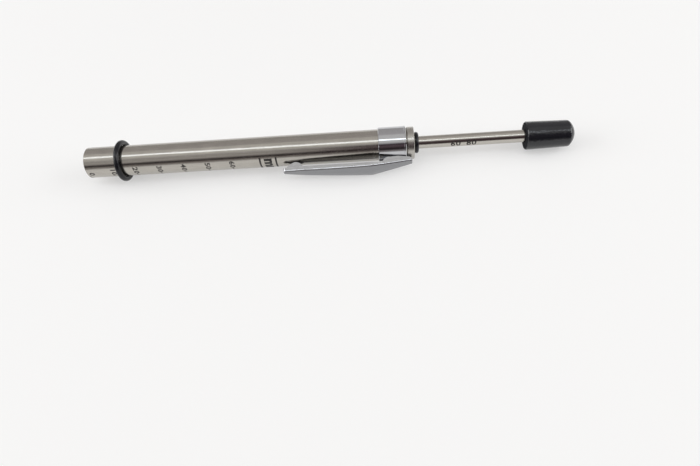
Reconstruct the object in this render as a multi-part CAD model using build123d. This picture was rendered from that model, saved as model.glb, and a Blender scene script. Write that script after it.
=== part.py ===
from build123d import *
import os
from math import cos, radians, sin, sqrt

# Pencil-type belt tension tester, in millimetres.
# The tool's axis is +X: x = 0 is the belt end's face and the zero of the deflection scale,
# and the plunger leaves the tube's mouth towards +X. +Z is up, as the tool lies on a table.
# Heights of the clip are measured out of the tube's axis, along the clip's own direction.

# Barrel
tube_length = 131.6
tube_outer_d = 12.5
tube_wall = 0.8
tube_rim_chamfer = 0.25

# Belt end
plug_length = 8.0
plug_chamfer = 0.4
spigot_length = 4.0
spigot_clearance = 0.475
seat_hole_clearance = 0.1
seat_thickness = 0.8
seat_clearance = 0.2

# Spring: square wire, with one closed and ground turn at each end
wire = 1.05
spring_bore_clearance = 0.725
active_turns = 9
closed_turns = 1
closed_gap = 0.05
ground_share = 0.3
plunger_travel = 38.0
spring_reserve = 5.4

# Follower on the rod's inner end
follower_length = 8.0
follower_clearance = 0.05
follower_chamfer = 0.4
rod_seat_depth = 7.0
follower_pin_d = 1.6
follower_pin_setback = 3.2
follower_pin_recess = 0.3

# Plunger rod and its stop
rod_d = 5.0
rod_clearance = 0.05
rod_end_chamfer = 0.3
stop_clip_thickness = 0.8
stop_clip_width = 2.2
stop_groove_depth = 0.4
stop_clip_mouth = 3.4
bumper_thickness = 1.0
bumper_clearance = 0.3
bumper_bore_clearance = 0.75

# Guide bush in the tube's mouth
bush_depth = 9.6
bush_chamfer = 0.4
collar_length = 2.85
collar_rise = 0.2
collar_chamfer = 0.25
bush_pin_d = 1.5
bush_pin_depth = 2.6

# Rubber marker rings
ring_clearance = 0.03
deflection_cord_d = 2.22
deflection_ring_reading = 14.5
force_cord_d = 1.75
force_ring_gap = 0.1
ring_to_cap_gap = 4.3

# Clip band round the tube's mouth
band_length = 11.0
band_wall = 0.65
band_lip_height = 0.08
band_lip_length = 0.7
band_edge_chamfer = 0.2
band_setback = 0.4
band_slit = 1.3

# Pocket clip arm: a stamped channel, crowned across its web
clip_angle = 12.0
sheet = 0.5
crown_radius = 18.0
bend_radius = 0.8
arm_length = 36.0
root_length = 16.0
root_overhang = 2.1
tip_height = 3.8
knee_height = 4.85
root_height = 1.7
arm_bow = 0.2
knee_radius = 5.0
crown_depth = 4.2
tip_half_width = 1.1
nose_radius = 1.0
shoulder_length = 8.7
shoulder_half_width = 2.5
knee_half_width = 4.6
root_half_width = 1.75
knee_plan_radius = 4.0
tip_edge_height = 1.85
knee_edge_height = 3.15
lobe_start = 1.6
lobe_apex = 5.0
lobe_end = 8.3
lobe_clearance = 0.15
lobe_rise_bulge = 0.33
lobe_fall_bulge = 0.2
ear_length = 11.9
ear_curve = 3.2
ear_edge_height = 0.1
ear_edge_fall = 1.0
ear_bulge = 0.3
ear_end_radius = 0.9
band_clearance = 0.2

# Clip pivot: lugs turned out of the band's ends, inside the arm's ears
pivot_setback = 2.2
pivot_height = 0.8
clip_pin_d = 1.0
pin_clearance = 0.03
lug_gap = 0.15
lug_length = 4.2
lug_top_clearance = 0.3

# Rubber push cap and the head inside it
cap_length = 19.1
cap_mouth_d = 11.2
cap_end_d = 10.4
cap_mouth_chamfer = 0.3
cap_dome_height = 2.5
cap_corner_radius = 1.2
cap_hole_clearance = 0.1
cap_wall = 1.4
core_length = 9.5
core_setback = 4.4
core_chamfer = 0.4
rod_in_core = 6.5
screw_d = 3.0
screw_length = 6.0
screw_head_d = 5.4
screw_head_length = 1.9
screw_head_clearance = 0.1
screw_head_recess = 0.3

# Cutters reach past the faces they cut by overcut; lengths closer than same are equal
overcut = 1.0
same = 1e-4

# Derived radii
tube_r = tube_outer_d / 2
bore_r = tube_r - tube_wall
rod_r = rod_d / 2
collar_r = tube_r + collar_rise
band_r = tube_r + band_wall
spring_r = bore_r - spring_bore_clearance - wire / 2
spigot_r = spring_r - wire / 2 - spigot_clearance
core_r = cap_end_d / 2 - cap_wall

# Derived stations along the axis
seat_x = plug_length
spring_x = seat_x + seat_thickness
spring_length = (active_turns + 2 * closed_turns) * wire + plunger_travel + spring_reserve
follower_x = spring_x + spring_length
follower_end_x = follower_x + follower_length
rod_inner_x = follower_end_x - rod_seat_depth
bush_x = tube_length - bush_depth
bumper_x = bush_x - bumper_thickness
stop_clip_x = bumper_x - stop_clip_thickness
collar_x = tube_length + collar_length
force_ring_x = collar_x + force_ring_gap + force_cord_d / 2
cap_x = collar_x + force_ring_gap + force_cord_d + plunger_travel + ring_to_cap_gap
cap_end_x = cap_x + cap_length
core_x = cap_x + core_setback
core_end_x = core_x + core_length
rod_outer_x = core_x + rod_in_core
band_end_x = tube_length - band_setback
band_x = band_end_x - band_length
root_x = band_end_x + root_overhang
knee_x = root_x - root_length
tip_x = knee_x - arm_length
pivot_x = band_end_x - pivot_setback
pivot_h = band_r + pivot_height

# Directions of the clip: out of the tube, and across the arm
clip_out = Vector(0, -cos(radians(clip_angle)), -sin(radians(clip_angle)))
clip_across = Vector(0, -sin(radians(clip_angle)), cos(radians(clip_angle)))
side_plane = Plane(origin=(0, 0, 0), x_dir=(1, 0, 0), z_dir=-clip_across)
plan_plane = Plane(origin=(0, 0, 0), x_dir=(1, 0, 0), z_dir=clip_out)


def turned(*points):
    """Solid of revolution about X from a closed outline of (x, radius) points."""
    return revolve(make_face(Polyline(*points, close=True)), Axis.X)


def rod_along_x(start, end, radius):
    """Plain cylinder on the tool's axis."""
    return turned((start, 0), (end, 0), (end, radius), (start, radius))


def cross_pin(x, radius, low, high, direction):
    """Pin across the axis at x, from the distance low to the distance high along a direction."""
    base = Vector(x, 0, 0) + direction * low
    return extrude(Plane(origin=base, z_dir=direction) * Circle(radius), high - low)


def circular_edges(solid, x, radius):
    """The circles of one radius, round the axis at one station."""
    return [
        edge
        for edge in solid.edges().filter_by(GeomType.CIRCLE)
        if abs(edge.arc_center.X - x) < same and abs(edge.radius - radius) < same
    ]


def make_bush_pins():
    """Two short pins through the tube into the bush, filed flush, under the clip band."""
    middle = bush_x + bush_depth / 2
    inner = tube_r - bush_pin_depth
    sides = (clip_across, -clip_across)
    pins = [cross_pin(middle, bush_pin_d / 2, inner, tube_r + overcut, side) for side in sides]
    inside = rod_along_x(bush_x, tube_length, tube_r)
    return [pin & inside for pin in pins]


def make_tube():
    """Barrel tube, drilled for the bush pins."""
    blank = turned((0, bore_r), (tube_length, bore_r), (tube_length, tube_r), (0, tube_r))
    rims = circular_edges(blank, 0, tube_r) + circular_edges(blank, tube_length, tube_r)
    blank = chamfer(rims, tube_rim_chamfer)
    for pin in make_bush_pins():
        blank -= pin
    return blank


def make_plug():
    """Belt end plug with a spigot that centres the spring."""
    blank = turned(
        (0, 0),
        (plug_length + spigot_length, 0),
        (plug_length + spigot_length, spigot_r),
        (plug_length, spigot_r),
        (plug_length, bore_r),
        (0, bore_r),
    )
    edges = circular_edges(blank, 0, bore_r)
    edges += circular_edges(blank, plug_length + spigot_length, spigot_r)
    return chamfer(edges, plug_chamfer)


def make_seat():
    """Washer between the plug and the spring."""
    hole_r = spigot_r + seat_hole_clearance
    rim_r = bore_r - seat_clearance
    return turned((seat_x, hole_r), (spring_x, hole_r), (spring_x, rim_r), (seat_x, rim_r))


def coil_run(base, lead, turns):
    """A stretch of the coil from the height base, climbing by lead at every turn."""
    path = (Pos(0, 0, base) * Helix(lead, lead * turns, spring_r)).edge()
    section = Plane(origin=path @ 0, x_dir=(1, 0, 0), z_dir=path % 0) * Rectangle(wire, wire)
    return sweep(section, path, is_frenet=True)


def make_spring():
    """Force spring: closed turns at both ends, ground flat on the seat and the follower."""
    closed_lead = wire + closed_gap
    closed_length = closed_lead * closed_turns
    ground = wire * ground_share
    coil_length = spring_length + 2 * ground - wire
    active_length = coil_length - 2 * closed_length
    coil = coil_run(0, closed_lead, closed_turns)
    coil += coil_run(closed_length, active_length / active_turns, active_turns)
    coil += coil_run(closed_length + active_length, closed_lead, closed_turns)
    between = Pos(0, 0, ground - wire / 2) * Cylinder(
        spring_r + wire, spring_length, align=(Align.CENTER, Align.CENTER, Align.MIN)
    )
    return Pos(spring_x + wire / 2 - ground, 0, 0) * Rot(0, 90, 0) * (coil & between)


def make_follower():
    """Piston that is guided in the bore, centred in the spring and pinned to the rod."""
    rim_r = bore_r - follower_clearance
    blank = turned(
        (follower_x - spigot_length, 0),
        (follower_end_x, 0),
        (follower_end_x, rim_r),
        (follower_x, rim_r),
        (follower_x, spigot_r),
        (follower_x - spigot_length, spigot_r),
    )
    edges = circular_edges(blank, follower_end_x, rim_r)
    edges += circular_edges(blank, follower_x - spigot_length, spigot_r)
    blank = chamfer(edges, follower_chamfer)
    blank -= rod_along_x(rod_inner_x, follower_end_x, rod_r)
    return blank - make_follower_pin()


def make_follower_pin():
    """Pin across the follower and the rod, a little short of the bore."""
    reach = bore_r - follower_clearance - follower_pin_recess
    station = follower_end_x - follower_pin_setback
    return cross_pin(station, follower_pin_d / 2, -reach, reach, Vector(0, 0, 1))


def make_rod():
    """Plunger rod: one straight bar from the follower to the head in the cap."""
    blank = rod_along_x(rod_inner_x, rod_outer_x, rod_r)
    ends = circular_edges(blank, rod_inner_x, rod_r) + circular_edges(blank, rod_outer_x, rod_r)
    blank = chamfer(ends, rod_end_chamfer)
    groove_r = rod_r - stop_groove_depth
    blank -= turned(
        (stop_clip_x, groove_r),
        (bumper_x, groove_r),
        (bumper_x, rod_r + overcut),
        (stop_clip_x, rod_r + overcut),
    )
    blank -= rod_along_x(rod_outer_x - screw_length, rod_outer_x, screw_d / 2)
    return blank - make_follower_pin()


def make_stop_clip():
    """Open retaining ring in the rod's groove, the plunger's stop."""
    groove_r = rod_r - stop_groove_depth
    rim_r = groove_r + stop_clip_width
    blank = turned(
        (stop_clip_x, groove_r), (bumper_x, groove_r), (bumper_x, rim_r), (stop_clip_x, rim_r)
    )
    corner = (Align.MIN, Align.CENTER, Align.MIN)
    mouth = Box(stop_clip_thickness, stop_clip_mouth, rim_r, align=corner)
    return blank - Pos(stop_clip_x, 0, 0) * mouth


def make_bumper():
    """Soft washer that the stop clip lands on."""
    hole_r = rod_r + bumper_clearance
    rim_r = bore_r - bumper_bore_clearance
    return turned((bumper_x, hole_r), (bush_x, hole_r), (bush_x, rim_r), (bumper_x, rim_r))


def make_bush():
    """Guide bush in the tube's mouth, with the collar that shows past the clip band."""
    hole_r = rod_r + rod_clearance
    blank = turned(
        (bush_x, hole_r),
        (collar_x, hole_r),
        (collar_x, collar_r),
        (tube_length, collar_r),
        (tube_length, bore_r),
        (bush_x, bore_r),
    )
    blank = chamfer(circular_edges(blank, bush_x, bore_r), bush_chamfer)
    edges = circular_edges(blank, collar_x, collar_r) + circular_edges(blank, tube_length, collar_r)
    blank = chamfer(edges, collar_chamfer)
    for pin in make_bush_pins():
        blank -= pin
    return blank


def make_ring(x, shaft_r, cord_d):
    """Rubber marker ring of round cord on a shaft."""
    centre_r = shaft_r + ring_clearance + cord_d / 2
    return revolve(Pos(x, centre_r) * Circle(cord_d / 2), Axis.X)


def plan_outline(inset):
    """The arm's outline seen along the clip's direction, drawn in by inset all round."""
    points = [
        (tip_x, tip_half_width),
        (tip_x + shoulder_length, shoulder_half_width),
        (knee_x, knee_half_width),
        (root_x, root_half_width),
        (root_x, -root_half_width),
        (knee_x, -knee_half_width),
        (tip_x + shoulder_length, -shoulder_half_width),
        (tip_x, -tip_half_width),
    ]
    outline = make_face(Polyline(*points, close=True))
    nose = [v for v in outline.vertices() if abs(v.X - tip_x) < same]
    outline = fillet(nose, nose_radius)
    knee = [v for v in outline.vertices() if abs(v.X - knee_x) < same]
    outline = fillet(knee, knee_plan_radius)
    if inset:
        outline = offset(outline, -inset, kind=Kind.INTERSECTION)
        # the arm is open at its root, so the inner outline runs on past it
        width = 2 * (root_half_width - inset)
        outline += Pos(root_x, 0) * Rectangle(2 * (inset + overcut), width)
    return outline


def plan_block(inset):
    """The plan outline as a block through the whole height of the clip."""
    return extrude(plan_plane * plan_outline(inset), band_r + 2 * knee_height)


def crown_line(drop):
    """Middle line of the arm's outer face, lowered by drop: bowed arm, round knee, straight root."""
    fall = (knee_height - root_height) / root_length
    tip = Vector(tip_x - sheet, tube_r + tip_height - drop)
    knee = Vector(knee_x, band_r + knee_height - drop)
    root = Vector(root_x + sheet, band_r + root_height - fall * sheet - drop)
    bow = (tip + knee) / 2 + Vector(0, arm_bow)
    arm = ThreePointArc(tip, bow, knee)
    line = Wire([arm.edge(), Line(knee, root).edge()])
    corner = [v for v in line.vertices() if abs(v.X - knee_x) < same]
    return line.fillet_2d(knee_radius - drop, corner)


def crown_body(drop):
    """Everything just under the crowned outer face of the arm, lowered by drop."""
    line = side_plane * crown_line(drop)
    radius = crown_radius - drop
    reach = knee_half_width + sheet
    sag = radius - sqrt(radius**2 - reach**2)
    edge = -crown_depth
    crown = ThreePointArc((-reach, -sag), (0, 0), (reach, -sag))
    sides = Polyline((reach, -sag), (reach, edge), (-reach, edge), (-reach, -sag))
    section = Plane(origin=line @ 0, x_dir=clip_across, z_dir=line % 0) * make_face([crown, sides])
    return sweep(section, line)


def half_width(x):
    """Half the arm's width at a station between its nose and its shoulder."""
    return tip_half_width + (shoulder_half_width - tip_half_width) * (x - tip_x) / shoulder_length


def flange_edge_cut():
    """What lies below the flanges' free edge: tip lobes, the long straight edge and the ears."""
    tip_h = tube_r + tip_edge_height
    knee_h = tube_r + knee_edge_height

    def edge_h(x):
        return tip_h + (knee_h - tip_h) * (x - tip_x) / arm_length

    lobe_x = tip_x + lobe_apex
    lobe_h = sqrt((tube_r + lobe_clearance) ** 2 - (half_width(lobe_x) - sheet) ** 2)
    lobe_in = (tip_x + lobe_start, edge_h(tip_x + lobe_start))
    lobe_out = (tip_x + lobe_end, edge_h(tip_x + lobe_end))
    lobe_top = (lobe_x, lobe_h)
    rise = (tip_x + (lobe_start + lobe_apex) / 2, lobe_h + (lobe_in[1] - lobe_h) * lobe_rise_bulge)
    fall = (tip_x + (lobe_end + lobe_apex) / 2, lobe_h + (lobe_out[1] - lobe_h) * lobe_fall_bulge)
    ear_x = root_x - ear_length
    ear_in = (ear_x, edge_h(ear_x))
    ear_flat = (ear_x + ear_curve, band_r + ear_edge_height)
    ear_mid = (ear_x + ear_curve * ear_bulge, ear_flat[1] + (ear_in[1] - ear_flat[1]) * ear_bulge)
    end_x = root_x - ear_end_radius
    corner_h = sqrt((band_r + band_clearance) ** 2 - (root_half_width - sheet) ** 2)
    corner_mid = ear_end_radius * (1 - sqrt(0.5))
    return make_face(
        [
            Polyline((tip_x - overcut, 0), (tip_x - overcut, tip_h), lobe_in),
            ThreePointArc(lobe_in, rise, lobe_top),
            ThreePointArc(lobe_top, fall, lobe_out),
            Line(lobe_out, ear_in),
            ThreePointArc(ear_in, ear_mid, ear_flat),
            Polyline(ear_flat, (end_x, band_r - ear_edge_fall), (end_x, corner_h)),
            ThreePointArc(
                (end_x, corner_h),
                (root_x - corner_mid, corner_h + corner_mid),
                (root_x, corner_h + ear_end_radius),
            ),
            Polyline(
                (root_x, corner_h + ear_end_radius),
                (root_x + overcut, corner_h + ear_end_radius),
                (root_x + overcut, 0),
                (tip_x - overcut, 0),
            ),
        ]
    )


def arm_blank():
    """The arm's outside as a block: crowned across, with the bends from web to flange rounded."""
    block = crown_body(0) & plan_block(0)
    bends = []
    for edge in block.edges():
        middle = edge @ 0.5
        on_top = middle.dot(clip_out) > crown_height(middle.X) - bend_radius
        at_root = abs(middle.X - root_x) < same
        if on_top and not at_root and abs(edge.length) > bend_radius:
            bends.append(edge)
    return fillet(bends, bend_radius)


def crown_height(x):
    """Height of the arm's middle line over the tool's axis, without the bow."""
    tip_h = tube_r + tip_height
    knee_h = band_r + knee_height
    if x < knee_x:
        return tip_h + (knee_h - tip_h) * (x - tip_x) / arm_length
    return knee_h - (knee_height - root_height) * (x - knee_x) / root_length


def pivot_hole(radius):
    """Cylinder on the clip's pivot, right across the arm."""
    reach = knee_half_width + sheet
    centre = Vector(pivot_x, 0, 0) + clip_out * pivot_h - clip_across * reach
    return extrude(Plane(origin=centre, z_dir=clip_across) * Circle(radius), 2 * reach)


def make_clip_arm():
    """Pocket clip arm: one sheet stamping, a crowned web with flanges and ears."""
    channel = arm_blank() - (crown_body(sheet) & plan_block(sheet))
    channel -= extrude(side_plane * flange_edge_cut(), knee_half_width + sheet, both=True)
    channel -= rod_along_x(band_x, root_x + overcut, band_r + band_clearance)
    return channel - pivot_hole(clip_pin_d / 2 + pin_clearance)


def make_clip_pin():
    """Clip pin, filed flush with the arm's ears."""
    return pivot_hole(clip_pin_d / 2) & plan_block(0)


def make_clip_band():
    """Strip rolled round the tube, its ends turned out as lugs for the clip's pivot."""
    lip_r = band_r + band_lip_height
    lip_x = band_end_x - band_lip_length
    band = turned(
        (band_x, tube_r),
        (band_end_x, tube_r),
        (band_end_x, lip_r),
        (lip_x, lip_r),
        (lip_x - band_lip_height, band_r),
        (band_x, band_r),
    )
    rims = circular_edges(band, band_x, band_r) + circular_edges(band, band_end_x, lip_r)
    band = chamfer(rims, band_edge_chamfer)
    slit = Pos(band_x + band_length / 2, 0) * Rectangle(2 * band_length, band_slit)
    band -= extrude(plan_plane * slit, lip_r)
    lugs = plan_block(sheet + lug_gap) - plan_block(2 * sheet + lug_gap)
    lugs &= crown_body(sheet + lug_top_clearance)
    lugs &= Pos(band_end_x - lug_length, 0, 0) * Box(
        lug_length, 4 * band_r, 4 * band_r, align=(Align.MIN, Align.CENTER, Align.CENTER)
    )
    lugs -= rod_along_x(band_x, band_end_x, tube_r)
    return band + lugs - pivot_hole(clip_pin_d / 2)


def core_blank():
    """Outside of the head on the rod's end, which the cap is moulded over."""
    blank = rod_along_x(core_x, core_end_x, core_r)
    edges = circular_edges(blank, core_x, core_r) + circular_edges(blank, core_end_x, core_r)
    return chamfer(edges, core_chamfer)


def make_cap():
    """Rubber push cap with a domed end."""
    mouth_r = cap_mouth_d / 2
    end_r = cap_end_d / 2
    dome_x = cap_end_x - cap_dome_height
    dome_r = (end_r**2 + cap_dome_height**2) / (2 * cap_dome_height)
    halfway = (cap_end_x - dome_r + sqrt(dome_r**2 - (end_r / 2) ** 2), end_r / 2)
    sides = Polyline((cap_end_x, 0), (cap_x, 0), (cap_x, mouth_r), (dome_x, end_r))
    dome = ThreePointArc((dome_x, end_r), halfway, (cap_end_x, 0))
    profile = make_face([sides, dome])
    mouth = [v for v in profile.vertices() if abs(v.Y - mouth_r) < same]
    profile = chamfer(mouth, cap_mouth_chamfer)
    shoulder = [v for v in profile.vertices() if abs(v.Y - end_r) < same]
    profile = fillet(shoulder, cap_corner_radius)
    cap = revolve(profile, Axis.X) - core_blank()
    return cap - rod_along_x(cap_x, core_x, rod_r + cap_hole_clearance)


def screw_seat_x():
    """Station of the face that the screw's head lies on."""
    return core_end_x - screw_head_recess - screw_head_length


def make_core():
    """Head on the rod's end, bored for the rod and counterbored for the screw."""
    core = core_blank() - rod_along_x(core_x, rod_outer_x, rod_r)
    core -= rod_along_x(rod_outer_x, core_end_x, screw_d / 2)
    return core - rod_along_x(screw_seat_x(), core_end_x, screw_head_d / 2 + screw_head_clearance)


def make_screw():
    """Cheese head screw from the head into the rod."""
    seat = screw_seat_x()
    head_x = seat + screw_head_length
    head = rod_along_x(seat, head_x, screw_head_d / 2)
    return head + rod_along_x(rod_outer_x - screw_length, head_x, screw_d / 2)


parts = {
    "barrel_tube": make_tube,
    "belt_end_plug": make_plug,
    "spring_seat": make_seat,
    "force_spring": make_spring,
    "spring_follower": make_follower,
    "follower_pin": make_follower_pin,
    "plunger_rod": make_rod,
    "stop_clip": make_stop_clip,
    "stop_bumper": make_bumper,
    "guide_bush": make_bush,
    "bush_pins": lambda: Compound(make_bush_pins()),
    "deflection_ring": lambda: make_ring(deflection_ring_reading, tube_r, deflection_cord_d),
    "force_ring": lambda: make_ring(force_ring_x, rod_r, force_cord_d),
    "clip_band": make_clip_band,
    "clip_arm": make_clip_arm,
    "clip_pin": make_clip_pin,
    "push_cap": make_cap,
    "cap_core": make_core,
    "cap_screw": make_screw,
}

os.makedirs("parts", exist_ok=True)
for name, make in parts.items():
    export_step(make(), os.path.join("parts", name + ".step"))
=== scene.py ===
from math import cos, pi, radians, sin

import bmesh
import bpy
from bpy.props import FloatProperty, FloatVectorProperty, IntProperty, PointerProperty
from mathutils import Matrix, Quaternion, Vector


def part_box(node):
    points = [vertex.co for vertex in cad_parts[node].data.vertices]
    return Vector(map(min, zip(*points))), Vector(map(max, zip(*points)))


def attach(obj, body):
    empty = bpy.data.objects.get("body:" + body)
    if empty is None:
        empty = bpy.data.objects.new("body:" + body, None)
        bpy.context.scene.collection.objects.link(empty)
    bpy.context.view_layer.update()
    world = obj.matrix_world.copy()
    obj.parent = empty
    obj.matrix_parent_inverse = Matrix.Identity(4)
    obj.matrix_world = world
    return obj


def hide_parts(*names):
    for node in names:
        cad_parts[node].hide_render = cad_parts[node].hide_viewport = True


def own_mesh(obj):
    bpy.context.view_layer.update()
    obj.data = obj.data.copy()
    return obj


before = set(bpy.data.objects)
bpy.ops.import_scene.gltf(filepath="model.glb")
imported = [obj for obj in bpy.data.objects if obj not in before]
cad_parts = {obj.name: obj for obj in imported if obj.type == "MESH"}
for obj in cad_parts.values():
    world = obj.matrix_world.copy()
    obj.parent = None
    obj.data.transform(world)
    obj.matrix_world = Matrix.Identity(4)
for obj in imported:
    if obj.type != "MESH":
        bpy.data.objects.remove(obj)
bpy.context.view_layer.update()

bl_info = {
    "name": "Belt tension tester",
    "version": (1, 0, 0),
    "blender": (4, 5, 0),
    "location": "3D View > Sidebar > Tester",
    "description": "Finishes, printed scales and studio for the pencil-type belt tension tester",
    "category": "Object",
}


# Sizes read from the frame, in metres. The tool's axis is the X axis.
tube_low, tube_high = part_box("barrel_tube")
tube_radius = (tube_high.y - tube_low.y) / 2
rod_low, rod_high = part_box("plunger_rod")
rod_radius = (rod_high.y - rod_low.y) / 2
ring_low, ring_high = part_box("deflection_ring")
band_low, band_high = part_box("clip_band")
bush_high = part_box("guide_bush")[1]

MILLIMETRE = 0.001
MARKED_FORCES = (60, 80)


def linear(hex_colour):
    """A written sRGB colour as the linear one that a shader takes."""
    parts = [int(hex_colour[i : i + 2], 16) / 255 for i in (1, 3, 5)]
    return tuple(p / 12.92 if p <= 0.04045 else ((p + 0.055) / 1.055) ** 2.4 for p in parts)


def colour_property(name, description, default):
    return FloatVectorProperty(
        name=name, description=description, subtype="COLOR", size=3, min=0, max=1, default=linear(default)
    )


def length_property(name, description, default):
    return FloatProperty(
        name=name, description=description, subtype="DISTANCE", unit="LENGTH", precision=5, default=default
    )


def angle_property(name, description, default):
    return FloatProperty(
        name=name, description=description, subtype="ANGLE", unit="ROTATION", default=radians(default)
    )


def place_property(name, description, default):
    return FloatVectorProperty(
        name=name, description=description, subtype="XYZ", unit="LENGTH", precision=5, default=default
    )


def direction_property(name, description, default):
    return FloatVectorProperty(
        name=name, description=description, subtype="DIRECTION", precision=5, default=default
    )


def power_property(name, description, default):
    return FloatProperty(name=name, description=description, unit="POWER", default=default)


def share_property(name, description, default):
    return FloatProperty(
        name=name, description=description, subtype="FACTOR", min=0, max=1, default=default
    )


class TesterFinishes(bpy.types.PropertyGroup):
    stainless: colour_property("Stainless tube", "Warm grey of the brushed tube", "#B5B1AA")
    rod_steel: colour_property("Rod steel", "Ground and polished plunger rod", "#BDB9B2")
    turned_steel: colour_property("Turned steel", "Bush, plug and head", "#B8B5AF")
    chrome: colour_property("Chrome", "Plating of the clip and its band", "#C3C4C7")
    spring_steel: colour_property("Spring steel", "Oiled spring wire", "#8C8A88")
    brass: colour_property("Brass", "Follower", "#C9A35A")
    ring_rubber: colour_property("Ring rubber", "Black marker rings", "#15161A")
    cap_rubber: colour_property("Cap rubber", "Black push cap", "#18191E")
    ink: colour_property("Ink", "Fired marking ink of the scales", "#1F1C1B")


class TesterMarks(bpy.types.PropertyGroup):
    ink_proud: length_property("Ink height", "How far the marks stand proud", 0.00002)
    ink_sunk: length_property("Ink depth", "How far the marks reach into the steel", 0.00003)
    ink_weight: length_property("Ink weight", "How much the figures' strokes are fattened", 0.00007)
    bend_step: angle_property("Bend step", "Angle between the cuts of a mark that goes round a shaft", 5)
    scale_offset: length_property("Scale offset", "Station of the zero line", 0.00065)
    scale_length: IntProperty(name="Scale length", description="Millimetres on the scale", default=65)
    line_width: length_property("Line width", "Width of a graduation", 0.0003)
    long_line_angle: angle_property("Long lines", "Where the lines of ten millimetres start", 60)
    middle_line_angle: angle_property("Middle lines", "Where the lines of five millimetres start", 86)
    short_line_angle: angle_property("Short lines", "Where the lines of one millimetre start", 93)
    line_end: angle_property("Line end", "Where all the lines end, below the tube", 104)
    figure_height: length_property("Figure height", "Height of the deflection figures", 0.0020)
    figure_stretch: FloatProperty(name="Figure stretch", description="Width of the figures", default=1.2)
    figure_angle: angle_property("Figure angle", "Where the figures start", 27)
    zero_angle: angle_property("Zero angle", "Where the zero starts, nearer to the lines", 41)
    figure_shift: length_property("Figure shift", "From a figure's line to its foot", -0.0001)
    ten_shift: length_property("Ten shift", "From the ten's line to its foot", 0.0005)
    zero_shift: length_property("Zero shift", "From the zero line to the zero's foot", 0.0012)
    panel_start: length_property("Panel start", "Station of the unit panel's first line", 0.0724)
    panel_end: length_property("Panel end", "Station of the unit panel's last line", 0.0789)
    panel_angle: angle_property("Panel angle", "Where the unit panel starts", 21)
    panel_line_width: length_property("Panel line width", "Width of the unit panel's lines", 0.0007)
    unit_height: length_property("Unit height", "Height of the unit's tall letters", 0.0040)
    unit_weight: length_property("Unit weight", "How much the unit's strokes are fattened", 0.0003)
    unit_angle: angle_property("Unit angle", "Where the unit starts", 26)
    force_figure_height: length_property("Force figure height", "Height of the force figures", 0.0023)
    force_figure_stretch: FloatProperty(
        name="Force figure stretch", description="Width of the force figures", default=1.15
    )
    force_figure_angle: angle_property(
        "Force figure angle", "Where the force figures have their foot", 58
    )
    spring_rate: FloatProperty(name="Spring rate", description="Newtons for each metre", default=3240.0)
    preload: FloatProperty(
        name="Preload", description="Newtons at which the plunger starts", default=6.5
    )


class TesterStage(bpy.types.PropertyGroup):
    view_tilt: angle_property("View tilt", "Elevation of the line of sight on the tube", 52)
    floor_colour: colour_property("Floor", "Pale paper sweep", "#F8F8F7")
    floor_size: length_property("Floor size", "Side of the paper sweep", 4.0)
    floor_white: share_property("Floor white", "Share of plain white seen in the paper", 0.45)
    lamp_target: place_property("Lamp target", "Point that the lamps look at", (0.1, 0.0, 0.0))
    overhead_place: place_property("Overhead place", "Centre of the strip above the tool", (0.1, -0.1, 0.75))
    overhead_length: length_property("Overhead length", "Length of the strip", 1.4)
    overhead_width: length_property("Overhead width", "Width of the strip", 0.09)
    overhead_turn: angle_property("Overhead turn", "Turn of the strip out of the tool's direction", -10)
    overhead_power: power_property("Overhead power", "Power of the strip", 0.95)
    overhead_colour: colour_property("Overhead colour", "Daylight of the strip", "#EFF7FF")
    left_place: place_property("Left place", "Centre of the softbox at the belt end", (-0.9, 0.0, 0.5))
    right_place: place_property("Right place", "Centre of the softbox at the cap's end", (1.1, 0.0, 0.5))
    side_length: length_property("Side length", "Length of both softboxes", 0.8)
    side_width: length_property("Side width", "Width of both softboxes", 0.6)
    left_power: power_property("Left power", "Power of the softbox at the belt end", 4.5)
    right_power: power_property("Right power", "Power of the softbox at the cap's end", 5.0)
    lens: FloatProperty(name="Lens", description="Focal length", unit="CAMERA", default=28.8)
    sensor: FloatProperty(name="Sensor", description="Width of the sensor", unit="CAMERA", default=36.0)
    camera_place: place_property("Camera place", "Where the lens is", (0.12026, -0.14173, 0.18098))
    camera_right: direction_property(
        "Camera right", "Right of the image", (0.996845, -0.017374, -0.077447)
    )
    camera_up: direction_property("Camera up", "Up in the image", (0.052960, 0.872377, 0.485957))


# Materials

# Nearly all values of a noise texture lie between these two
NOISE_LOW = 0.3
NOISE_HIGH = 0.7

# Size of the cloudy patches on worked metal, and their share beside the marks
CLOUD_SIZE = 6.25 * MILLIMETRE
CLOUD_SHARE = 0.35

# Relief of the marks, and size and relief of the slow waves in pressed sheet
MARK_DEPTH = 0.01 * MILLIMETRE
MARK_STRENGTH = 0.12
DENT_SIZE = 16.667 * MILLIMETRE
DENT_DEPTH = 0.2 * MILLIMETRE

# Spacing of the thin places in marking ink
INK_GRAIN = 0.4 * MILLIMETRE

# How far along an axis a normal points where the finish of one face starts, and where it is complete; on the
# clip's broad face that finish is partly painted shade
FACE_STARTS = -0.75
# where the painted shade of the clip's broad face is complete
SHADED_FACE_COMPLETE = -0.92
CUT_FACE_COMPLETE = -0.95

# Specular level that a Principled shader starts with
PLAIN_SPECULAR = 0.5

# Places of a Mix node's colour sockets, which have the same names as its number sockets
MIX_FIRST = 6
MIX_SECOND = 7
MIX_RESULT = 2


def set_inputs(tree, node, inputs):
    """Sets a node's inputs, each to a number, a colour or another node's output."""
    for key, value in inputs.items():
        if isinstance(value, bpy.types.NodeSocket):
            tree.links.new(value, node.inputs[key])
        else:
            node.inputs[key].default_value = value


def add_node(tree, kind, inputs=None, stops=None, **settings):
    """Adds a node with its settings and links; stops are a colour ramp's places and linear colours."""
    node = tree.nodes.new(kind)
    for key, value in settings.items():
        setattr(node, key, value)
    set_inputs(tree, node, inputs or {})
    if stops:
        elements = node.color_ramp.elements
        while len(elements) < len(stops):
            elements.new(0.5)
        for element, (position, colour) in zip(elements, stops):
            element.position = position
            element.color = (*colour, 1)
    return node


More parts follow.
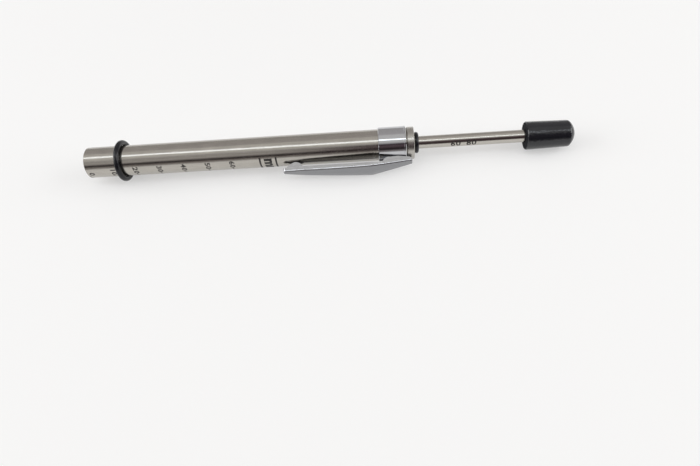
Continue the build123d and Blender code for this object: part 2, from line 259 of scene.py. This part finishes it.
def new_material(name):
    """A named material with nothing but its output and its Principled shader."""
    material = bpy.data.materials.new(name)
    material.use_nodes = True
    tree = material.node_tree
    tree.nodes.clear()
    shader = add_node(tree, "ShaderNodeBsdfPrincipled")
    add_node(tree, "ShaderNodeOutputMaterial", {"Surface": shader.outputs["BSDF"]})
    return material, tree, shader


def shade(colour, amount):
    """A colour made darker or lighter."""
    return tuple(min(1, c * amount) for c in colour)


def share_facing(tree, normal, axis, complete):
    """How much of one face's finish a point has: all of it where the face looks against the axis."""
    along = add_node(tree, "ShaderNodeSeparateXYZ", {"Vector": normal}).outputs[axis]
    limits = {"Value": along, "From Min": FACE_STARTS, "From Max": complete}
    return add_node(tree, "ShaderNodeMapRange", limits).outputs["Result"]


def worked_steel(name, colour, grain, roughness, contrast, dents=0.0, painted_shade_and_satin=None):
    """Metal with the fine marks of its working; grain is how many a millimetre holds along X, Y and Z.

    Turned, ground and brushed metal has its marks 0.2 to 0.4 mm apart, coarser than the real ones, so
    that they show. dents is the strength of the waves in pressed sheet. The last argument gives, for a
    face that looks away from the tube, the share of the colour kept there, a darker tone that is painted
    shade, and its satin roughness."""
    material, tree, shader = new_material(name)
    coordinates = add_node(tree, "ShaderNodeTexCoord").outputs
    place = coordinates["Object"]
    scale = [count / MILLIMETRE for count in grain]
    stretched = add_node(tree, "ShaderNodeMapping", {"Vector": place, "Scale": scale}).outputs["Vector"]
    marks = add_node(tree, "ShaderNodeTexNoise", {"Vector": stretched, "Scale": 1.0, "Detail": 3.0})
    marks = marks.outputs["Fac"]
    cloud = add_node(
        tree, "ShaderNodeTexNoise", {"Vector": place, "Scale": 1 / CLOUD_SIZE, "Detail": 4.0}
    )
    wear = add_node(
        tree,
        "ShaderNodeMix",
        {"Factor": CLOUD_SHARE, "A": marks, "B": cloud.outputs["Fac"]},
        data_type="FLOAT",
    )
    wear = wear.outputs["Result"]
    darkest, lightest = shade(colour, 1 - contrast), shade(colour, 1 + contrast)
    stops = [(NOISE_LOW, darkest), (NOISE_HIGH, lightest)]
    tone = add_node(tree, "ShaderNodeValToRGB", {"Fac": wear}, stops).outputs["Color"]
    smoothest, roughest = roughness * 0.8, roughness * 1.25
    rough = add_node(
        tree,
        "ShaderNodeMapRange",
        {
            "Value": wear,
            "From Min": NOISE_LOW,
            "From Max": NOISE_HIGH,
            "To Min": smoothest,
            "To Max": roughest,
        },
    )
    rough = rough.outputs["Result"]
    # painted shade: where a face looks away from the tube its colour is darkened to the given share; its
    # roughness turns satin as well
    if painted_shade_and_satin:
        share, dull = painted_shade_and_satin
        here = share_facing(tree, coordinates["Normal"], "Y", SHADED_FACE_COMPLETE)
        painted_shade_colour = (*shade(colour, share), 1)
        tone = add_node(
            tree,
            "ShaderNodeMix",
            {"Factor": here, MIX_FIRST: tone, MIX_SECOND: painted_shade_colour},
            data_type="RGBA",
        )
        tone = tone.outputs[MIX_RESULT]
        rough = add_node(tree, "ShaderNodeMapRange", {"Value": here, "To Min": rough, "To Max": dull})
        rough = rough.outputs["Result"]
    relief = add_node(
        tree, "ShaderNodeBump", {"Height": marks, "Strength": MARK_STRENGTH, "Distance": MARK_DEPTH}
    )
    relief = relief.outputs["Normal"]
    if dents:
        waves = add_node(
            tree, "ShaderNodeTexNoise", {"Vector": place, "Scale": 1 / DENT_SIZE, "Detail": 1.0}
        )
        relief = add_node(
            tree,
            "ShaderNodeBump",
            {
                "Height": waves.outputs["Fac"],
                "Strength": dents,
                "Distance": DENT_DEPTH,
                "Normal": relief,
            },
        )
        relief = relief.outputs["Normal"]
    set_inputs(
        tree, shader, {"Base Color": tone, "Roughness": rough, "Normal": relief, "Metallic": 1.0}
    )
    return material


def stainless_tube():
    """Drawn stainless tube, brushed along its length: a satin sheen that still shows dark edges."""
    colour = bpy.context.scene.tester_finishes.stainless
    grain = (0.15, 3.2, 3.2)
    return worked_steel("brushed stainless tube", colour, grain, roughness=0.19, contrast=0.1)


def ground_rod():
    """Centreless-ground rod: almost a mirror, with short soft streaks."""
    colour = bpy.context.scene.tester_finishes.rod_steel
    grain = (3.6, 0.5, 0.5)
    return worked_steel("ground steel rod", colour, grain, roughness=0.14, contrast=0.06)


def turned_steel():
    """Turned steel: rings from the tool on every face round the axis."""
    colour = bpy.context.scene.tester_finishes.turned_steel
    grain = (2.6, 0.06, 0.06)
    return worked_steel("turned steel", colour, grain, roughness=0.26, contrast=0.1)


def oiled_spring_wire():
    """Hard-drawn spring wire with a film of oil: dark grey, softly shining."""
    colour = bpy.context.scene.tester_finishes.spring_steel
    grain = (0.9, 0.9, 0.9)
    return worked_steel("oiled spring wire", colour, grain, roughness=0.3, contrast=0.12)


def turned_brass():
    """Turned brass: yellow, slightly dulled."""
    colour = bpy.context.scene.tester_finishes.brass
    grain = (5.2, 0.7, 0.7)
    return worked_steel("turned brass", colour, grain, roughness=0.28, contrast=0.1)


def chrome_band():
    """Bright chrome on a rolled band: a mirror with hardly a wave."""
    colour = bpy.context.scene.tester_finishes.chrome
    grain = (0.7, 0.7, 0.7)
    return worked_steel("chrome plated band", colour, grain, roughness=0.1, contrast=0.03, dents=0.1)


def chrome_clip():
    """Chrome on pressed sheet: wavy, and satin on the broad face, which also has painted shade, a greyer
    colour.
    """
    colour = bpy.context.scene.tester_finishes.chrome
    return worked_steel(
        "chrome plated clip",
        colour,
        grain=(0.3, 1.5, 1.5),
        roughness=0.12,
        contrast=0.12,
        dents=0.6,
        # painted shade: the broad face keeps 0.52 of the chrome's colour; its roughness there is 0.25
        painted_shade_and_satin=(0.52, 0.25),
    )


def moulded_rubber(name, colour, roughness, ior, grain_size, relief, dust, cut_face=None):
    """Moulded rubber: near black, its grain breaks up the sheen and holds a little dust.

    grain_size is the spacing of the grain in metres, relief the strength of it, and dust how much
    lighter the dust is. cut_face is the roughness and the specular level of a face that looks towards
    the belt end, where the rubber is cut and not moulded."""
    material, tree, shader = new_material(name)
    coordinates = add_node(tree, "ShaderNodeTexCoord").outputs
    place = coordinates["Object"]
    pits = add_node(
        tree,
        "ShaderNodeTexNoise",
        {"Vector": place, "Scale": 1 / grain_size, "Detail": 2.0, "Roughness": 0.6},
    )
    pits = pits.outputs["Fac"]
    # the dust lies in patches twice as far apart as the grain
    specks = add_node(
        tree,
        "ShaderNodeTexNoise",
        {"Vector": place, "Scale": 0.5 / grain_size, "Detail": 5.0, "Roughness": 0.7},
    )
    stops = [(0.45, colour), (0.72, shade(colour, dust))]
    tone = add_node(tree, "ShaderNodeValToRGB", {"Fac": specks.outputs["Fac"]}, stops)
    smoothest, roughest = roughness * 0.8, roughness * 1.2
    rough = add_node(
        tree,
        "ShaderNodeMapRange",
        {
            "Value": pits,
            "From Min": NOISE_LOW,
            "From Max": NOISE_HIGH,
            "To Min": smoothest,
            "To Max": roughest,
        },
    )
    rough = rough.outputs["Result"]
    if cut_face:
        matt, specular = cut_face
        here = share_facing(tree, coordinates["Normal"], "X", CUT_FACE_COMPLETE)
        rough = add_node(tree, "ShaderNodeMapRange", {"Value": here, "To Min": rough, "To Max": matt})
        rough = rough.outputs["Result"]
        gloss = add_node(
            tree,
            "ShaderNodeMapRange",
            {"Value": here, "To Min": PLAIN_SPECULAR, "To Max": specular},
        )
        set_inputs(tree, shader, {"Specular IOR Level": gloss.outputs["Result"]})
    grain_depth = grain_size * 0.2
    bump = add_node(
        tree, "ShaderNodeBump", {"Height": pits, "Strength": relief, "Distance": grain_depth}
    )
    set_inputs(
        tree,
        shader,
        {
            "Base Color": tone.outputs["Color"],
            "Roughness": rough,
            "Normal": bump.outputs["Normal"],
            "IOR": ior,
        },
    )
    return material


def ring_rubber():
    """Nitrile rubber of a moulded ring: smooth, with a soft sheen."""
    return moulded_rubber(
        "nitrile ring rubber",
        bpy.context.scene.tester_finishes.ring_rubber,
        roughness=0.2,
        ior=1.4,
        grain_size=0.6 * MILLIMETRE,
        relief=0.12,
        dust=1.4,
    )


def cap_rubber():
    """Moulded rubber cap: satin, with a pebbled grain, coarser than the real one, so that it shows."""
    return moulded_rubber(
        "pebbled cap rubber",
        bpy.context.scene.tester_finishes.cap_rubber,
        roughness=0.1,
        ior=1.55,
        grain_size=1.2 * MILLIMETRE,
        relief=0.5,
        dust=1.5,
        cut_face=(0.8, 0.1),
    )


def soft_washer_rubber():
    """Matt rubber of the stop washer."""
    return moulded_rubber(
        "matt washer rubber",
        bpy.context.scene.tester_finishes.cap_rubber,
        roughness=0.7,
        ior=1.5,
        grain_size=0.3 * MILLIMETRE,
        relief=0.3,
        dust=2.0,
    )


def marking_ink():
    """Fired marking ink: near black and matt, a little thin where it was rolled on."""
    material, tree, shader = new_material("fired marking ink")
    colour = bpy.context.scene.tester_finishes.ink
    place = add_node(tree, "ShaderNodeTexCoord").outputs["Object"]
    thin = add_node(
        tree, "ShaderNodeTexNoise", {"Vector": place, "Scale": 1 / INK_GRAIN, "Detail": 4.0}
    )
    stops = [(0.5, colour), (0.75, shade(colour, 5.0))]
    tone = add_node(tree, "ShaderNodeValToRGB", {"Fac": thin.outputs["Fac"]}, stops)
    set_inputs(
        tree, shader, {"Base Color": tone.outputs["Color"], "Roughness": 0.5, "IOR": 1.5}
    )
    return material


def finish_nodes(material, *nodes):
    """Gives the frame's own solids a finished material."""
    for node in nodes:
        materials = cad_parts[node].data.materials
        for place in range(len(materials)):
            materials[place] = material


# Geometry

# Height of a figure in Blender's own font, as a share of the size that the text is given
FIGURE_SHARE = 0.7

# Spacing of the figures, as a share of the font's own
FIGURE_SPACING = 1.1

# Corners of a figure count as one within this share of its height, and the spring's within this distance
FIGURE_MERGE = 1e-4
SPRING_MERGE = 1e-7

# Edges of the spring that turn less than this are shown round
SHARP_EDGE = radians(35)


def new_piece(name, bm, material, body):
    """Turns a bmesh into a piece that rides on a body."""
    mesh = bpy.data.meshes.new(name)
    bm.to_mesh(mesh)
    bm.free()
    mesh.materials.append(material)
    piece = bpy.data.objects.new(name, mesh)
    bpy.context.scene.collection.objects.link(piece)
    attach(piece, body)
    return piece


def bar(width, length, depth):
    """A flat bar with its width along X and its length along Y, from Y = 0."""
    bm = bmesh.new()
    bmesh.ops.create_cube(bm, size=1.0)
    bmesh.ops.scale(bm, vec=(width, length, depth), verts=bm.verts)
    bmesh.ops.translate(bm, vec=(0, length / 2, 0), verts=bm.verts)
    return bm


def figures(text, height, depth, weight, stretch=1.0):
    """Figures as one flat solid, their foot on Y = 0 and their left on X = 0."""
    curve = bpy.data.curves.new("figures", "FONT")
    curve.body = text
    curve.size = height / FIGURE_SHARE
    curve.extrude = depth / 2
    curve.offset = weight
    curve.resolution_u = 4
    curve.space_character = FIGURE_SPACING
    holder = bpy.data.objects.new("figures", curve)
    bpy.context.scene.collection.objects.link(holder)
    bpy.context.view_layer.update()
    evaluated = holder.evaluated_get(bpy.context.evaluated_depsgraph_get())
    mesh = bpy.data.meshes.new_from_object(evaluated)
    bm = bmesh.new()
    bm.from_mesh(mesh)
    bmesh.ops.remove_doubles(bm, verts=bm.verts, dist=height * FIGURE_MERGE)
    bmesh.ops.scale(bm, vec=(stretch, 1, 1), verts=bm.verts)
    bpy.data.objects.remove(holder)
    bpy.data.curves.remove(curve)
    bpy.data.meshes.remove(mesh)
    return bm


def centred(bm):
    """Moves flat figures along X until their middle is on X = 0."""
    stations = [v.co.x for v in bm.verts]
    bmesh.ops.translate(bm, vec=(-(min(stations) + max(stations)) / 2, 0, 0), verts=bm.verts)
    return bm


def round_the_axis(bm):
    """Turns flat figures so that they read round the tool, their tops towards +X."""
    bmesh.ops.transform(bm, matrix=Matrix(((0, 1, 0), (1, 0, 0), (0, 0, 1))).to_4x4(), verts=bm.verts)
    return bm


def along_the_axis(bm):
    """Turns flat figures so that they read towards +X, centred on X = 0."""
    bmesh.ops.scale(bm, vec=(1, -1, 1), verts=bm.verts)
    return centred(bm)


def wrap(bm, radius, station, angle):
    """Bends a flat mark round the tool's axis, proud of the surface and sunk into it by the ink's sizes.

    Y runs round the tool from the given angle, which counts from the line of sight downwards."""
    marks = bpy.context.scene.tester_marks
    tilt = bpy.context.scene.tester_stage.view_tilt
    low = min(v.co.y for v in bm.verts)
    high = max(v.co.y for v in bm.verts)
    pitch = radius * marks.bend_step
    for index in range(1, int((high - low) / pitch) + 1):
        everything = bm.verts[:] + bm.edges[:] + bm.faces[:]
        cut = (0, low + index * pitch, 0)
        bmesh.ops.bisect_plane(bm, geom=everything, plane_co=cut, plane_no=(0, 1, 0))
    top = max(v.co.z for v in bm.verts)
    for vert in bm.verts:
        elevation = tilt - angle - vert.co.y / radius
        out = radius + marks.ink_proud + vert.co.z - top
        vert.co = (station + vert.co.x, -cos(elevation) * out, sin(elevation) * out)
    return bm


def join(parts):
    """Joins several bmeshes into one, all its faces outwards."""
    whole = bmesh.new()
    for part in parts:
        mesh = bpy.data.meshes.new("mark")
        part.to_mesh(mesh)
        part.free()
        whole.from_mesh(mesh)
        bpy.data.meshes.remove(mesh)
    bmesh.ops.recalc_face_normals(whole, faces=whole.faces)
    return whole


class TESTER_OT_metal(bpy.types.Operator):
    """Steel, chrome and brass finishes of the metal pieces"""

    bl_idname = "tester.metal"
    bl_label = "Metal finishes"

    def execute(self, context):
        finish_nodes(stainless_tube(), "barrel_tube")
        finish_nodes(ground_rod(), "plunger_rod")
        finish_nodes(
            turned_steel(),
            "belt_end_plug",
            "spring_seat",
            "follower_pin",
            "guide_bush",
            "bush_pins",
            "cap_core",
            "cap_screw",
        )
        finish_nodes(oiled_spring_wire(), "force_spring", "stop_clip")
        finish_nodes(turned_brass(), "spring_follower")
        finish_nodes(chrome_band(), "clip_band", "clip_pin")
        finish_nodes(chrome_clip(), "clip_arm")
        return {"FINISHED"}


class TESTER_OT_rubber(bpy.types.Operator):
    """Rubber finishes of the marker rings, the push cap and the stop washer"""

    bl_idname = "tester.rubber"
    bl_label = "Rubber finishes"

    def execute(self, context):
        finish_nodes(ring_rubber(), "deflection_ring", "force_ring")
        finish_nodes(cap_rubber(), "push_cap")
        finish_nodes(soft_washer_rubber(), "stop_bumper")
        return {"FINISHED"}


class TESTER_OT_deflection_scale(bpy.types.Operator):
    """Millimetre scale round the belt end of the tube, with its figures and unit panel"""

    bl_idname = "tester.deflection_scale"
    bl_label = "Deflection scale"

    def execute(self, context):
        marks = context.scene.tester_marks
        depth = marks.ink_proud + marks.ink_sunk
        parts = []

        def line(station, start, width):
            length = tube_radius * (marks.line_end - start)
            parts.append(wrap(bar(width, length, depth), tube_radius, station, start))

        for count in range(marks.scale_length + 1):
            start = marks.short_line_angle
            if count % 5 == 0:
                start = marks.middle_line_angle
            if count % 10 == 0:
                start = marks.long_line_angle
            line(marks.scale_offset + count * MILLIMETRE, start, marks.line_width)
        # the first figures stand a little later on the scale than the others
        shifts = {0: marks.zero_shift, 10: marks.ten_shift}
        for count in range(0, marks.scale_length, 10):
            figure = figures(str(count), marks.figure_height, depth, marks.ink_weight, marks.figure_stretch)
            station = count * MILLIMETRE + shifts.get(count, marks.figure_shift)
            angle = marks.figure_angle if count else marks.zero_angle
            parts.append(wrap(round_the_axis(figure), tube_radius, station, angle))
        for station in (marks.panel_start, marks.panel_end):
            line(station, marks.panel_angle, marks.panel_line_width)
        unit = figures("mm", marks.unit_height, depth, marks.unit_weight)
        middle = (marks.panel_start + marks.panel_end) / 2
        parts.append(wrap(centred(round_the_axis(unit)), tube_radius, middle, marks.unit_angle))
        new_piece("deflection_scale", join(parts), marking_ink(), "barrel")
        return {"FINISHED"}


class TESTER_OT_force_scale(bpy.types.Operator):
    """Force figures on the plunger rod, at the places where the spring gives those forces"""

    bl_idname = "tester.force_scale"
    bl_label = "Force scale"

    def execute(self, context):
        marks = context.scene.tester_marks
        depth = marks.ink_proud + marks.ink_sunk
        stretch = marks.force_figure_stretch
        parts = []
        for force in MARKED_FORCES:
            station = bush_high.x + (force - marks.preload) / marks.spring_rate
            figure = figures(str(force), marks.force_figure_height, depth, marks.ink_weight, stretch)
            parts.append(wrap(along_the_axis(figure), rod_radius, station, marks.force_figure_angle))
        new_piece("force_scale", join(parts), marking_ink(), "plunger")
        return {"FINISHED"}


class TESTER_OT_spring(bpy.types.Operator):
    """Force spring, shaded smooth, riding on the barrel in place of the frame's solid spring"""

    bl_idname = "tester.spring"
    bl_label = "Force spring"

    def execute(self, context):
        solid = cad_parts["force_spring"]
        bm = bmesh.new()
        bm.from_mesh(solid.data)
        bmesh.ops.remove_doubles(bm, verts=bm.verts, dist=SPRING_MERGE)
        for edge in bm.edges:
            edge.smooth = edge.calc_face_angle(0) < SHARP_EDGE
        for face in bm.faces:
            face.smooth = True
        piece = new_piece("force_spring_coil", bm, solid.data.materials[0], "barrel")
        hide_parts("force_spring")
        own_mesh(piece)
        return {"FINISHED"}


# Brightness of the room on its two sides, by the angle round the tool's axis: degrees from the wall
# behind the tool, over the ceiling, to the front of the room. The front is dark, and seen towards the
# belt end that dark part is only a narrow stripe.
DARK_FRONT = (
    (0, "#B4B1AF"),
    (58, "#BCB8B7"),
    (67, "#DAD8D5"),
    (112, "#DCDAD7"),
    (123, "#ADAAAA"),
    (128, "#453A3F"),
    (142, "#5F5055"),
    (152, "#453A3C"),
    (160, "#261F22"),
    (167, "#5B5354"),
    (175, "#9E9896"),
    (180, "#A29E9C"),
)
BELT_END = (
    (0, "#B4B1AF"),
    (58, "#BCB8B7"),
    (67, "#DAD8D5"),
    (112, "#DCDAD7"),
    (121, "#B6B3B2"),
    (132, "#B4B1AF"),
    (141, "#C8C4C2"),
    (147, "#A09B9A"),
    (153, "#3A3235"),
    (158, "#1A1618"),
    (163, "#4A4243"),
    (169, "#8E8886"),
    (180, "#A8A4A2"),
)

# How far along X a line from the tool points where the belt end's side stops and the dark front is complete
BELT_END_STOPS = -0.15
FRONT_COMPLETE = -0.05


class TESTER_OT_stage(bpy.types.Operator):
    """Paper floor, soft lights, world and the photograph's camera"""

    bl_idname = "tester.stage"
    bl_label = "Studio stage"

    def execute(self, context):
        scene = context.scene
        stage = scene.tester_stage
        self.make_floor(stage)
        self.make_lights(stage)
        self.make_world(scene)
        self.make_camera(scene, stage)
        scene.view_settings.view_transform = "Standard"
        return {"FINISHED"}

    def make_floor(self, stage):
        bm = bmesh.new()
        bmesh.ops.create_grid(bm, x_segments=2, y_segments=2, size=stage.floor_size / 2)
        # the paper touches the large ring and the band, so it slopes a little along the tool
        ring_x = (ring_low.x + ring_high.x) / 2
        band_x = (band_low.x + band_high.x) / 2
        slope = (band_low.z - ring_low.z) / (band_x - ring_x)
        for vert in bm.verts:
            vert.co.z = ring_low.z + (vert.co.x - ring_x) * slope
        bmesh.ops.recalc_face_normals(bm, faces=bm.faces)
        mesh = bpy.data.meshes.new("floor")
        bm.to_mesh(mesh)
        bm.free()
        mesh.materials.append(self.white_paper(stage))
        floor = bpy.data.objects.new("floor", mesh)
        bpy.context.scene.collection.objects.link(floor)

    def white_paper(self, stage):
        """Matt white paper; the camera and the mirrors see it part blown out, its shadows kept."""
        material, tree, shader = new_material("matt white paper")
        set_inputs(
            tree,
            shader,
            {"Base Color": (*stage.floor_colour, 1), "Roughness": 0.9, "Specular IOR Level": 0.2},
        )
        path = add_node(tree, "ShaderNodeLightPath").outputs
        seen = path["Is Camera Ray"]
        for ray in ("Is Glossy Ray", "Is Transmission Ray"):
            seen = add_node(tree, "ShaderNodeMath", {0: seen, 1: path[ray]}, operation="MAXIMUM")
            seen = seen.outputs["Value"]
        share = add_node(tree, "ShaderNodeMath", {0: seen, 1: stage.floor_white}, operation="MULTIPLY")
        white = add_node(tree, "ShaderNodeEmission", {"Color": (1, 1, 1, 1), "Strength": 1.0})
        both = add_node(
            tree,
            "ShaderNodeMixShader",
            {0: share.outputs["Value"], 1: shader.outputs["BSDF"], 2: white.outputs["Emission"]},
        )
        set_inputs(tree, tree.nodes["Material Output"], {"Surface": both.outputs["Shader"]})
        return material

    def make_lights(self, stage):
        strip = (stage.overhead_length, stage.overhead_width)
        softbox = (stage.side_length, stage.side_width)
        target = stage.lamp_target
        overhead = self.area("overhead strip", stage.overhead_place, target, strip, stage.overhead_power)
        overhead.rotation_quaternion.rotate(Quaternion((0, 0, 1), stage.overhead_turn))
        overhead.data.color = stage.overhead_colour
        self.area("left softbox", stage.left_place, target, softbox, stage.left_power)
        self.area("right softbox", stage.right_place, target, softbox, stage.right_power)

    def area(self, name, place, target, size, power):
        """An area light that looks at the target."""
        light = bpy.data.lights.new(name, "AREA")
        light.shape = "RECTANGLE"
        light.size, light.size_y = size
        light.energy = power
        lamp = bpy.data.objects.new(name, light)
        lamp.location = place
        lamp.rotation_mode = "QUATERNION"
        lamp.rotation_quaternion = (Vector(target) - Vector(place)).to_track_quat("-Z", "Y")
        bpy.context.scene.collection.objects.link(lamp)
        return lamp

    def make_world(self, scene):
        world = bpy.data.worlds.new("studio room")
        world.use_nodes = True
        tree = world.node_tree
        tree.nodes.clear()
        place = add_node(tree, "ShaderNodeTexCoord").outputs["Generated"]
        axes = add_node(tree, "ShaderNodeSeparateXYZ", {"Vector": place}).outputs
        angle = add_node(tree, "ShaderNodeMath", {0: axes["Z"], 1: axes["Y"]}, operation="ARCTAN2")
        half_turn = {"Value": angle.outputs["Value"], "From Max": pi}
        share = add_node(tree, "ShaderNodeMapRange", half_turn).outputs["Result"]
        sides = []
        for wall in (BELT_END, DARK_FRONT):
            stops = [(degrees / 180, linear(colour)) for degrees, colour in wall]
            side = add_node(tree, "ShaderNodeValToRGB", {"Fac": share}, stops)
            sides.append(side.outputs["Color"])
        limits = {"Value": axes["X"], "From Min": BELT_END_STOPS, "From Max": FRONT_COMPLETE}
        along = add_node(tree, "ShaderNodeMapRange", limits).outputs["Result"]
        tone = add_node(
            tree,
            "ShaderNodeMix",
            {"Factor": along, MIX_FIRST: sides[0], MIX_SECOND: sides[1]},
            data_type="RGBA",
        )
        background = add_node(
            tree, "ShaderNodeBackground", {"Color": tone.outputs[MIX_RESULT], "Strength": 1.0}
        )
        add_node(tree, "ShaderNodeOutputWorld", {"Surface": background.outputs["Background"]})
        scene.world = world

    def make_camera(self, scene, stage):
        camera = bpy.data.cameras.new("camera")
        camera.sensor_fit = "HORIZONTAL"
        camera.sensor_width = stage.sensor
        camera.lens = stage.lens
        camera.clip_start = 0.005
        camera.clip_end = 20.0
        holder = bpy.data.objects.new("camera", camera)
        right = Vector(stage.camera_right)
        up = Vector(stage.camera_up)
        back = right.cross(up).normalized()
        turn = Matrix((right, up, back)).transposed().to_4x4()
        holder.matrix_world = Matrix.Translation(stage.camera_place) @ turn
        scene.collection.objects.link(holder)
        scene.camera = holder


class TESTER_PT_panel(bpy.types.Panel):
    """Pieces and stage of the belt tension tester"""

    bl_idname = "TESTER_PT_panel"
    bl_label = "Belt tension tester"
    bl_space_type = "VIEW_3D"
    bl_region_type = "UI"
    bl_category = "Tester"

    def draw(self, context):
        layout = self.layout
        for group in (
            context.scene.tester_finishes,
            context.scene.tester_marks,
            context.scene.tester_stage,
        ):
            box = layout.box()
            for name in group.__annotations__:
                box.prop(group, name)
        for operator in operators:
            layout.operator(operator.bl_idname)


operators = (
    TESTER_OT_metal,
    TESTER_OT_rubber,
    TESTER_OT_deflection_scale,
    TESTER_OT_force_scale,
    TESTER_OT_spring,
    TESTER_OT_stage,
)
classes = (TesterFinishes, TesterMarks, TesterStage, *operators, TESTER_PT_panel)


def register():
    for cls in classes:
        bpy.utils.register_class(cls)
    bpy.types.Scene.tester_finishes = PointerProperty(type=TesterFinishes)
    bpy.types.Scene.tester_marks = PointerProperty(type=TesterMarks)
    bpy.types.Scene.tester_stage = PointerProperty(type=TesterStage)


def unregister():
    del bpy.types.Scene.tester_stage
    del bpy.types.Scene.tester_marks
    del bpy.types.Scene.tester_finishes
    for cls in reversed(classes):
        bpy.utils.unregister_class(cls)


def main():
    register()
    bpy.ops.tester.metal()
    bpy.ops.tester.rubber()
    bpy.ops.tester.deflection_scale()
    bpy.ops.tester.force_scale()
    bpy.ops.tester.spring()
    bpy.ops.tester.stage()


if __name__ == "__main__":
    main()
